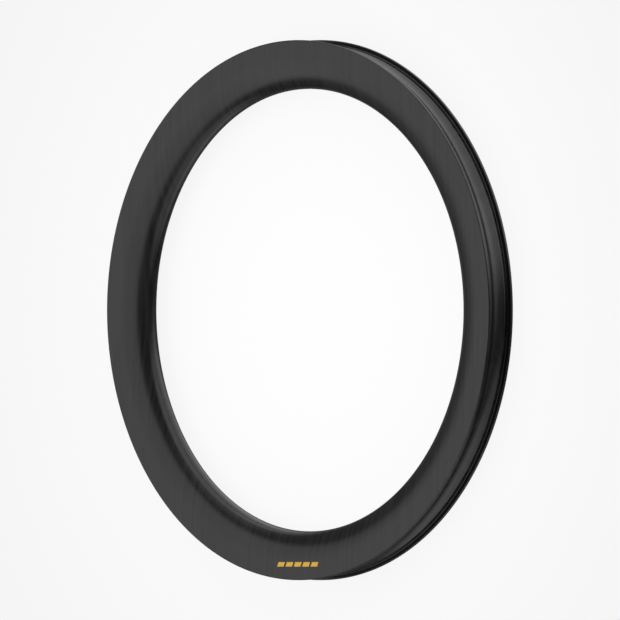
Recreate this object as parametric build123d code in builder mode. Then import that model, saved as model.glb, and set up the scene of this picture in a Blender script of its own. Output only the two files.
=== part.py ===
"""Deep-section bicycle rim, moulded in one piece, lying on its side with the wheel's axis along +Z."""
from build123d import *
import os
from math import atan2, degrees, sqrt

# Driving dimensions, in millimetres

# The whole rim
bead_seat_diameter = 622.0
rim_width = 40.3
rim_depth = 57.3

# The channel that holds the tyre
flange_height = 5.15
flange_thickness = 3.75
flange_edge_chamfer = 0.9
well_width = 20.8
well_depth = 2.7

# The sides and the nose that faces the hub
flat_side_height = 19.9
nose_radius = 12.5

# The walls round the hollow, where its corners lie
side_wall = 0.8
nose_wall = 3.5
seat_wall = 2.0
well_wall = 1.2

# The valve
valve_hole_diameter = 6.5

# Places that follow from the driving dimensions, as radii from the axis and heights from the middle plane
half_width = rim_width / 2
bead_seat_radius = bead_seat_diameter / 2
outer_radius = bead_seat_radius + flange_height
inner_radius = outer_radius - rim_depth
flat_side_radius = outer_radius - flat_side_height
flange_inner_height = half_width - flange_thickness
well_edge = (bead_seat_radius, well_width / 2)
well_middle_radius = bead_seat_radius - well_depth

hollow_half_width = half_width - side_wall
hollow_nose_radius = nose_radius - side_wall
hollow_tip_radius = inner_radius + nose_wall
hollow_tip_height = sqrt(hollow_nose_radius**2 - (nose_radius - nose_wall) ** 2)


def draw_flank(side_height, nose_circle_radius, mode=Mode.ADD):
    """Draw the arc that takes a flat side round into the nose's circle, with no kink at either end."""
    rise = flat_side_radius - inner_radius - nose_radius
    inset = side_height - nose_circle_radius
    flank_radius = (rise**2 + side_height**2 - nose_circle_radius**2) / (2 * inset)
    turn = degrees(atan2(rise, flank_radius - side_height))
    start = (flat_side_radius, side_height)
    return JernArc(start=start, tangent=(-1, 0), radius=flank_radius, arc_size=turn, mode=mode)


def draw_arc_across(start, middle_radius):
    """Draw the arc that crosses the middle plane at one radius and ends opposite its start."""
    start = Vector(start)
    ThreePointArc(start, (middle_radius, 0), (start.X, -start.Y))


with BuildPart() as rim:
    with BuildSketch(Plane.XZ) as section:
        # The outside of the section, from the nose round the flat sides and the flanges to the tyre well
        with BuildLine():
            flank = draw_flank(half_width, nose_radius)
            Polyline(
                (flat_side_radius, half_width),
                (outer_radius, half_width),
                (outer_radius, flange_inner_height),
                (bead_seat_radius, flange_inner_height),
                well_edge,
            )
            mirror(about=Plane.XZ)
            draw_arc_across(flank @ 1, inner_radius)
            draw_arc_across(well_edge, well_middle_radius)
        make_face()
        flange_corners = section.vertices().group_by(Axis.X)[-1].sort_by(Axis.Y)
        chamfer((flange_corners[0], flange_corners[-1]), flange_edge_chamfer)

        # The hollow, straight from corner to corner inside the curved walls
        with BuildSketch(mode=Mode.SUBTRACT):
            with BuildLine():
                inner_flank = draw_flank(hollow_half_width, hollow_nose_radius, mode=Mode.PRIVATE)
                Polyline(
                    (well_middle_radius - well_wall, 0),
                    (bead_seat_radius - seat_wall, hollow_half_width),
                    inner_flank @ 0.5,
                    (hollow_tip_radius, hollow_tip_height),
                )
                mirror(about=Plane.XZ)
                Line((hollow_tip_radius, hollow_tip_height), (hollow_tip_radius, -hollow_tip_height))
            make_face()
    revolve(axis=Axis.Z)

    # The valve hole, drilled outwards from the wheel's axis through the nose and the tyre well
    with BuildSketch(Plane.ZX):
        Circle(valve_hole_diameter / 2)
    extrude(amount=outer_radius, mode=Mode.SUBTRACT)

rim.part.label = "rim"

os.makedirs("parts", exist_ok=True)
export_step(rim.part, "parts/rim.step")
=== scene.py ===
"""Dresses the bicycle rim: satin carbon skin, a row of gold dashes, pale floor and soft studio light."""
import math

import bmesh
import bpy
from mathutils import Matrix, Vector


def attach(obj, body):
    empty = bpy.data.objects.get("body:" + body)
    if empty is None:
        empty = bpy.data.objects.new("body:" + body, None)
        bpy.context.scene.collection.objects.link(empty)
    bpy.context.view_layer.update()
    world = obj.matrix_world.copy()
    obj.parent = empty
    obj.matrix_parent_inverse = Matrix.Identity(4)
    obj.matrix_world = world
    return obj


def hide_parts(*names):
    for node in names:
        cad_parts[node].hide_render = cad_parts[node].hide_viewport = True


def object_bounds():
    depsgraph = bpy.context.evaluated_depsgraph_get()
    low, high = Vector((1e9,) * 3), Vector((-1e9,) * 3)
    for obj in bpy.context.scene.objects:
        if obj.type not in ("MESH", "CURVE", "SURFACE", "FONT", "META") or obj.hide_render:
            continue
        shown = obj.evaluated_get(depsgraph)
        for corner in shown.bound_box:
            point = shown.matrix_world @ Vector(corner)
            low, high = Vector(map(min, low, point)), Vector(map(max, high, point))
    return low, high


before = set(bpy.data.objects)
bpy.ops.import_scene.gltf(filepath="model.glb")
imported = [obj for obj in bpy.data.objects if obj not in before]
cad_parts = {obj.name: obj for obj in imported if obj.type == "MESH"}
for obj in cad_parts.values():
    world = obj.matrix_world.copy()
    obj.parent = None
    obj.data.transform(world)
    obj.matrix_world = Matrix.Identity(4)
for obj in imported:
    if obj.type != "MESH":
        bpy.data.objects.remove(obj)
cad_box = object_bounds()

MM = 0.001

# The rim's own sizes, in metres, the same as the solid's
BEAD_SEAT_RADIUS = 311.0 * MM
RIM_WIDTH = 40.3 * MM
RIM_DEPTH = 57.3 * MM
FLANGE_HEIGHT = 5.15 * MM
FLANGE_THICKNESS = 3.75 * MM
WELL_WIDTH = 20.8 * MM
WELL_DEPTH = 2.7 * MM
FLAT_SIDE_HEIGHT = 19.9 * MM
NOSE_RADIUS = 12.5 * MM
SIDE_WALL = 0.8 * MM
NOSE_WALL = 3.5 * MM
SEAT_WALL = 2.0 * MM
WELL_WALL = 1.2 * MM
VALVE_HOLE_RADIUS = 3.25 * MM

# The roundings of its edges, which are chamfers or plain corners on the solid
FLANGE_OUTER_ROUNDING = 1.4 * MM
FLANGE_INNER_ROUNDING = 0.9 * MM
CHANNEL_ROUNDING = 1.0 * MM
SEAT_EDGE_ROUNDING = 1.2 * MM

# Places that follow from those sizes, as radii from the wheel's axis and heights from the middle plane
HALF_WIDTH = RIM_WIDTH / 2
OUTER_RADIUS = BEAD_SEAT_RADIUS + FLANGE_HEIGHT
INNER_RADIUS = OUTER_RADIUS - RIM_DEPTH
FLAT_SIDE_RADIUS = OUTER_RADIUS - FLAT_SIDE_HEIGHT
FLANGE_INNER_HEIGHT = HALF_WIDTH - FLANGE_THICKNESS
WELL_MIDDLE_RADIUS = BEAD_SEAT_RADIUS - WELL_DEPTH

# The radius of the arc across the tyre well
WELL_ARC_RADIUS = (WELL_WIDTH**2 / 4 + WELL_DEPTH**2) / (2 * WELL_DEPTH)

# How finely the rim is drawn: steps round the wheel's axis, round the valve hole and along the section's arcs
SEGMENTS_ROUND = 480
HOLLOW_SEGMENTS_ROUND = SEGMENTS_ROUND // 4
VALVE_HOLE_SEGMENTS = 48
NOSE_STEPS = 20
FLANK_STEPS = 10
WELL_STEPS = 8
CORNER_STEPS = 6

# How the rim's faces shade into each other: edges that turn further stay sharp, and large faces lead
SHARP_ANGLE = math.radians(35)
LARGE_FACE_WEIGHT = 100

# The row of gold dashes on the upper side, at the bottom of the photograph's view
DASH_COUNT = 5
DASH_WIDTH = 10.6 * MM
DASH_GAP = 3.2 * MM
DASH_HEIGHT = 5.2 * MM
DASH_SLANT = 2.4 * MM
DASH_FILM = 0.03 * MM
DASH_RADIUS = 297.6 * MM

# The fibres' streaks in the carbon: their size, and the ends of their grey and their roughness
STREAK_WIDTH = 4.0 * MM
STREAK_LENGTH = 160.0 * MM
STREAK_DEPTH = 0.001 * MM
STREAK_DETAIL = 4
STREAK_GREY = (0.002, 0.012)
STREAK_ROUGHNESS = (0.21, 0.23)

# The gold print's grain: its size, and the ends of its colour and its roughness
GRAIN_SIZE = 0.6 * MM
GRAIN_DETAIL = 2
GRAIN_DARK_GOLD = (0.80, 0.42, 0.02, 1)
GRAIN_LIGHT_GOLD = (1.0, 0.62, 0.06, 1)
GRAIN_ROUGHNESS = (0.3, 0.45)

# Most of the noise's values lie between these
NOISE_LOW = 0.36
NOISE_HIGH = 0.64

# The stage: a pale floor with a painted pool of light round the wheel's axis, in a shell of the floor's outer
# tone
STAGE_RADIUS = 8.0
STAGE_SEGMENTS = 96
FLOOR_GREY = 0.12
FLOOR_GLOW = 0.91
FLOOR_FAR_GLOW = 0.82
FLOOR_FADE = 2.5 * OUTER_RADIUS
BACKDROP_GREY = 0
BACKDROP_GLOW = 0.92

# The photograph's view: the wheel's axis is turned this far from the line of sight, to the picture's left
VIEW_ANGLE = math.radians(44.9)
CAMERA_DISTANCE = 3
PICTURE_PIXELS = 620
RIM_RADIUS_PIXELS = 270.08
RIM_CENTRE_PIXELS = (309.95, 310.11)


def arc(centre, radius, start, end, steps):
    """Points (radius from the axis, height) along an arc, its angles in degrees."""
    points = []
    for i in range(steps + 1):
        angle = math.radians(start + (end - start) * i / steps)
        points.append((centre[0] + radius * math.cos(angle), centre[1] + radius * math.sin(angle)))
    return points


def rounded(before, corner, after, radius):
    """Points of the arc that rounds one corner of an outline."""
    corner = Vector(corner)
    to_before = (Vector(before) - corner).normalized()
    to_after = (Vector(after) - corner).normalized()
    half = to_before.angle(to_after) / 2
    reach = radius / math.tan(half)
    centre = corner + (to_before + to_after).normalized() * (radius / math.sin(half))
    start = corner + to_before * reach - centre
    end = corner + to_after * reach - centre
    turn = start.angle_signed(end)
    points = []
    for i in range(CORNER_STEPS + 1):
        spoke = Matrix.Rotation(-turn * i / CORNER_STEPS, 2) @ start
        points.append(tuple(centre + spoke))
    return points


def side_outline(half_width, tip_radius, nose_radius, nose_steps, flank_steps):
    """From the nose's tip round the flank to the flat side."""
    nose_centre = tip_radius + nose_radius
    rise = FLAT_SIDE_RADIUS - nose_centre
    flank_radius = (rise**2 + half_width**2 - nose_radius**2) / (2 * (half_width - nose_radius))
    turn = math.degrees(math.atan2(rise, flank_radius - half_width))
    nose = arc((nose_centre, 0), nose_radius, 180, 90 + turn, nose_steps)
    flank = arc((FLAT_SIDE_RADIUS, half_width - flank_radius), flank_radius, 90 + turn, 90, flank_steps)
    return nose + flank[1:]


def mirrored(half):
    """A whole outline from the half above the middle plane, whose ends lie on that plane."""
    return half + [(r, -z) for r, z in reversed(half[1:-1])]


def outer_outline():
    """The rim's outside: nose, flank, flat side, flange, bead seat and tyre well."""
    half = side_outline(HALF_WIDTH, INNER_RADIUS, NOSE_RADIUS, NOSE_STEPS, FLANK_STEPS)
    corners = [
        (FLAT_SIDE_RADIUS, HALF_WIDTH),
        (OUTER_RADIUS, HALF_WIDTH),
        (OUTER_RADIUS, FLANGE_INNER_HEIGHT),
        (BEAD_SEAT_RADIUS, FLANGE_INNER_HEIGHT),
        (BEAD_SEAT_RADIUS, 0),
    ]
    roundings = [FLANGE_OUTER_ROUNDING, FLANGE_INNER_ROUNDING, CHANNEL_ROUNDING]
    for before, corner, after, radius in zip(corners, corners[1:], corners[2:], roundings):
        half += rounded(before, corner, after, radius)
    reach = math.degrees(math.acos(1 - WELL_DEPTH / (WELL_ARC_RADIUS + SEAT_EDGE_ROUNDING)))
    edge_height = (WELL_ARC_RADIUS + SEAT_EDGE_ROUNDING) * math.sin(math.radians(reach))
    edge_centre = (BEAD_SEAT_RADIUS - SEAT_EDGE_ROUNDING, edge_height)
    well_centre = (WELL_MIDDLE_RADIUS + WELL_ARC_RADIUS, 0)
    half += arc(edge_centre, SEAT_EDGE_ROUNDING, 0, -reach, CORNER_STEPS)
    half += arc(well_centre, WELL_ARC_RADIUS, 180 - reach, 180, WELL_STEPS)[1:]
    return mirrored(half)


def hollow_outline():
    """The hollow inside the walls, straight from corner to corner."""
    half_width = HALF_WIDTH - SIDE_WALL
    nose_radius = NOSE_RADIUS - SIDE_WALL
    tip_radius = INNER_RADIUS + NOSE_WALL
    tip_height = math.sqrt(nose_radius**2 - (NOSE_RADIUS - NOSE_WALL) ** 2)
    # Drawn in two steps, the flank has its middle at the last point but one
    side = side_outline(half_width, INNER_RADIUS + SIDE_WALL, nose_radius, nose_steps=1, flank_steps=2)
    flank_middle = side[-2]
    corner = (BEAD_SEAT_RADIUS - SEAT_WALL, half_width)
    roof_middle = (WELL_MIDDLE_RADIUS - WELL_WALL, 0)
    return mirrored([(tip_radius, 0), (tip_radius, tip_height), flank_middle, corner, roof_middle])


def add_ring(mesh, outline, segments, inside_out=False):
    """Turn an outline about the wheel's axis into a closed ring of faces."""
    rings = []
    for i in range(segments):
        # The half step keeps the valve hole's axis midway between two rows of points
        angle = 2 * math.pi * (i + 0.5) / segments
        c, s = math.cos(angle), math.sin(angle)
        rings.append([mesh.verts.new((r * c, r * s, z)) for r, z in outline])
    count = len(outline)
    for i in range(segments):
        here, there = rings[i], rings[(i + 1) % segments]
        for j in range(count):
            k = (j + 1) % count
            face = [here[j], here[k], there[k], there[j]]
            mesh.faces.new(reversed(face) if inside_out else face)


def add_object(name, mesh):
    """A finished mesh as an object of the scene."""
    data = bpy.data.meshes.new(name)
    mesh.to_mesh(data)
    mesh.free()
    thing = bpy.data.objects.new(name, data)
    bpy.context.scene.collection.objects.link(thing)
    return thing


def apply_modifiers(thing):
    """Replace an object's mesh by what its modifiers make of it."""
    graph = bpy.context.evaluated_depsgraph_get()
    finished = bpy.data.meshes.new_from_object(thing.evaluated_get(graph))
    thing.modifiers.clear()
    thing.data = finished


def build_drill():
    """A round bar along +Y from the wheel's axis, as long as the rim's radius."""
    lay_along_y = Matrix.Rotation(math.radians(90), 4, "X")
    mesh = bmesh.new()
    bmesh.ops.create_cone(
        mesh,
        cap_ends=True,
        segments=VALVE_HOLE_SEGMENTS,
        radius1=VALVE_HOLE_RADIUS,
        radius2=VALVE_HOLE_RADIUS,
        depth=OUTER_RADIUS,
        matrix=Matrix.Translation((0, OUTER_RADIUS / 2, 0)) @ lay_along_y,
    )
    return add_object("valve_drill", mesh)


def build_rim():
    """The hollow rim with its valve hole."""
    mesh = bmesh.new()
    add_ring(mesh, outer_outline(), SEGMENTS_ROUND)
    # The hollow's faces look into it: looking outwards, they would be lost when the valve hole is cut
    add_ring(mesh, hollow_outline(), HOLLOW_SEGMENTS_ROUND, inside_out=True)
    shell = add_object("rim_shell", mesh)

    drill = build_drill()
    cut = shell.modifiers.new("valve_hole", "BOOLEAN")
    cut.operation = "DIFFERENCE"
    cut.solver = "EXACT"
    cut.object = drill
    apply_modifiers(shell)
    bpy.data.objects.remove(drill)

    shell.data.shade_smooth()
    shell.data.set_sharp_from_angle(angle=SHARP_ANGLE)
    weigh = shell.modifiers.new("even_shading", "WEIGHTED_NORMAL")
    weigh.weight = LARGE_FACE_WEIGHT
    weigh.keep_sharp = True
    apply_modifiers(shell)
    return shell


def build_dashes():
    """A row of slanted dashes, each a thin film set into the flat upper side."""
    mesh = bmesh.new()
    pitch = DASH_WIDTH + DASH_GAP
    for i in range(DASH_COUNT):
        middle = (i - (DASH_COUNT - 1) / 2) * pitch
        outline = []
        for along, across in ((-1, -1), (1, -1), (1, 1), (-1, 1)):
            x = middle + along * DASH_WIDTH / 2 + across * DASH_SLANT / 2
            outline.append((x, across * DASH_HEIGHT / 2 - DASH_RADIUS))
        below = [mesh.verts.new((x, y, HALF_WIDTH - DASH_FILM)) for x, y in outline]
        above = [mesh.verts.new((x, y, HALF_WIDTH + DASH_FILM)) for x, y in outline]
        mesh.faces.new(reversed(below))
        mesh.faces.new(above)
        count = len(outline)
        for j in range(count):
            k = (j + 1) % count
            mesh.faces.new((below[j], below[k], above[k], above[j]))
    return add_object("gold_dashes", mesh)


def new_material(name):
    """A material made of nodes, its node tree and its shader."""
    material = bpy.data.materials.new(name)
    material.use_nodes = True
    return material, material.node_tree, material.node_tree.nodes["Principled BSDF"]


def add_noise(tree, cell, detail):
    """Noise whose cells have real sizes along the rim's axes."""
    place = tree.nodes.new("ShaderNodeTexCoord")
    stretch = tree.nodes.new("ShaderNodeMapping")
    stretch.inputs["Scale"].default_value = [1 / size for size in cell]
    tree.links.new(place.outputs["Object"], stretch.inputs["Vector"])
    noise = tree.nodes.new("ShaderNodeTexNoise")
    noise.inputs["Scale"].default_value = 1
    noise.inputs["Detail"].default_value = detail
    tree.links.new(stretch.outputs["Vector"], noise.inputs["Vector"])
    return noise.outputs["Fac"]


def add_ramp(tree, value, start, end, low, high, ease="LINEAR"):
    """A value that goes from low to high while another goes from start to end."""
    ramp = tree.nodes.new("ShaderNodeMapRange")
    ramp.interpolation_type = ease
    ramp.inputs["From Min"].default_value = start
    ramp.inputs["From Max"].default_value = end
    ramp.inputs["To Min"].default_value = low
    ramp.inputs["To Max"].default_value = high
    tree.links.new(value, ramp.inputs["Value"])
    return ramp.outputs["Result"]


def carbon_material():
    """Satin clear coat over fine unidirectional fibres."""
    material, tree, shader = new_material("satin_carbon")
    streaks = add_noise(tree, (STREAK_WIDTH, STREAK_LENGTH, STREAK_LENGTH), STREAK_DETAIL)
    roughness = add_ramp(tree, streaks, NOISE_LOW, NOISE_HIGH, *STREAK_ROUGHNESS)
    tree.links.new(roughness, shader.inputs["Roughness"])
    grey = add_ramp(tree, streaks, NOISE_LOW, NOISE_HIGH, *STREAK_GREY)
    tree.links.new(grey, shader.inputs["Base Color"])
    bump = tree.nodes.new("ShaderNodeBump")
    bump.inputs["Distance"].default_value = STREAK_DEPTH
    tree.links.new(streaks, bump.inputs["Height"])
    tree.links.new(bump.outputs["Normal"], shader.inputs["Normal"])
    return material


def gold_material():
    """Gold print with a fine grain."""
    material, tree, shader = new_material("gold_print")
    grain = add_noise(tree, (GRAIN_SIZE, GRAIN_SIZE, GRAIN_SIZE), GRAIN_DETAIL)
    tint = tree.nodes.new("ShaderNodeMix")
    tint.data_type = "RGBA"
    tint.inputs["A"].default_value = GRAIN_DARK_GOLD
    tint.inputs["B"].default_value = GRAIN_LIGHT_GOLD
    tree.links.new(grain, tint.inputs["Factor"])
    tree.links.new(tint.outputs["Result"], shader.inputs["Base Color"])
    roughness = add_ramp(tree, grain, NOISE_LOW, NOISE_HIGH, *GRAIN_ROUGHNESS)
    tree.links.new(roughness, shader.inputs["Roughness"])
    return material


def camera_axes():
    """The picture's right, up and towards-the-eye directions in the rim's frame."""
    towards = Vector((math.sin(VIEW_ANGLE), 0, math.cos(VIEW_ANGLE)))
    up = Vector((0, 1, 0))
    return up.cross(towards), up, towards


def add_camera():
    """A camera without perspective, looking down on the rim along the photograph's line of sight."""
    right, up, towards = camera_axes()
    pixel = OUTER_RADIUS / RIM_RADIUS_PIXELS
    off_right = (PICTURE_PIXELS / 2 - RIM_CENTRE_PIXELS[0]) * pixel
    off_up = (RIM_CENTRE_PIXELS[1] - PICTURE_PIXELS / 2) * pixel
    data = bpy.data.cameras.new("camera")
    data.type = "ORTHO"
    data.ortho_scale = PICTURE_PIXELS * pixel
    camera = bpy.data.objects.new("camera", data)
    bpy.context.scene.collection.objects.link(camera)
    place = right * off_right + up * off_up + towards * CAMERA_DISTANCE
    turn = Matrix((right, up, towards)).transposed().to_4x4()
    camera.matrix_world = Matrix.Translation(place) @ turn
    bpy.context.scene.camera = camera


def add_studio():
    """Soft light from far away: a dim room with a lit wall, ceiling and lower side, and three small glows."""
    right, up, towards = camera_axes()
    world = bpy.data.worlds.new("studio")
    world.use_nodes = True
    tree = world.node_tree
    place = tree.nodes.new("ShaderNodeTexCoord")

    def glow(axis, inner, outer, strength, dim=0):
        """Light round an axis, given by the picture's axes, that fades to a dim rest between two angles."""
        dot = tree.nodes.new("ShaderNodeVectorMath")
        dot.operation = "DOT_PRODUCT"
        tree.links.new(place.outputs["Generated"], dot.inputs[0])
        dot.inputs[1].default_value = (right * axis[0] + up * axis[1] + towards * axis[2]).normalized()
        start = math.cos(math.radians(outer))
        end = math.cos(math.radians(inner))
        return add_ramp(tree, dot.outputs["Value"], start, end, dim, strength, ease="SMOOTHSTEP")

    def joined(operation, first, second):
        """Two lights added to or multiplied by each other."""
        node = tree.nodes.new("ShaderNodeMath")
        node.operation = operation
        tree.links.new(first, node.inputs[0])
        tree.links.new(second, node.inputs[1])
        return node.outputs["Value"]

    wall = glow(axis=(-0.97, -0.07, 0.24), inner=34.7, outer=42, strength=0.95)
    wall_end = glow(axis=(0.59, -0.08, 0.8), inner=117, outer=178, strength=1.02)
    ceiling = glow(axis=(0.31, 0.95, 0.06), inner=48, outer=69, strength=1.21)
    window = glow(axis=(0.96, 0.26, -0.07), inner=0, outer=25, strength=0.45)
    lower = glow(axis=(0.18, -0.91, 0.38), inner=33, outer=55.6, strength=0.79, dim=0.159)
    bench = glow(axis=(0.4, -0.91, -0.08), inner=25, outer=38, strength=0.29)
    corner = glow(axis=(-0.95, -0.15, -0.26), inner=0, outer=32, strength=0.19)

    # The wall dims towards its far end
    total = joined("MULTIPLY", wall, wall_end)
    for light in (ceiling, window, lower, bench, corner):
        total = joined("ADD", total, light)
    background = tree.nodes["Background"]
    background.inputs["Color"].default_value = (1, 1, 1, 1)
    tree.links.new(total, background.inputs["Strength"])
    bpy.context.scene.world = world


def pale_material(name, grey, glow):
    """A matt pale material that glows by itself, so that it stays pale in soft light."""
    material, tree, shader = new_material(name)
    shader.inputs["Base Color"].default_value = (grey, grey, grey, 1)
    shader.inputs["Specular IOR Level"].default_value = 0
    shader.inputs["Emission Color"].default_value = (1, 1, 1, 1)
    shader.inputs["Emission Strength"].default_value = glow
    material.cycles.emission_sampling = "NONE"
    return material, tree, shader


def put_on_stage(thing, material):
    """Give an object a material, and let it be seen but neither light nor shade the rim."""
    thing.data.materials.append(material)
    thing.visible_glossy = False
    thing.visible_diffuse = False
    thing.visible_shadow = False


def add_floor(level):
    """A pale floor that the rim lies on, with a painted pool of light: it glows a little dimmer away from the
    middle.
    """
    mesh = bmesh.new()
    bmesh.ops.create_circle(mesh, cap_ends=True, segments=STAGE_SEGMENTS, radius=STAGE_RADIUS)
    floor = add_object("floor", mesh)
    floor.location.z = level
    material, tree, shader = pale_material("pale_floor", FLOOR_GREY, FLOOR_GLOW)
    place = tree.nodes.new("ShaderNodeTexCoord")
    distance = tree.nodes.new("ShaderNodeVectorMath")
    distance.operation = "LENGTH"
    tree.links.new(place.outputs["Object"], distance.inputs[0])
    reach = distance.outputs["Value"]
    # Painted pool of light: the floor's glow fades from the middle towards its edge
    painted_light_pool = add_ramp(tree, reach, 0, FLOOR_FADE, FLOOR_GLOW, FLOOR_FAR_GLOW, ease="SMOOTHSTEP")
    tree.links.new(painted_light_pool, shader.inputs["Emission Strength"])
    put_on_stage(floor, material)


def add_backdrop():
    """A shell of the floor's outer tone round the scene, for views that look past the floor."""
    mesh = bmesh.new()
    bmesh.ops.create_uvsphere(
        mesh, u_segments=STAGE_SEGMENTS, v_segments=STAGE_SEGMENTS // 2, radius=STAGE_RADIUS
    )
    material = pale_material("pale_backdrop", BACKDROP_GREY, BACKDROP_GLOW)[0]
    put_on_stage(add_object("backdrop", mesh), material)


rim = build_rim()
rim.data.materials.append(carbon_material())
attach(rim, "root")
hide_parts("rim")

dashes = build_dashes()
dashes.data.materials.append(gold_material())
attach(dashes, "root")

add_camera()
add_floor(cad_box[0][2])
add_backdrop()
add_studio()
bpy.context.scene.view_settings.view_transform = "Standard"
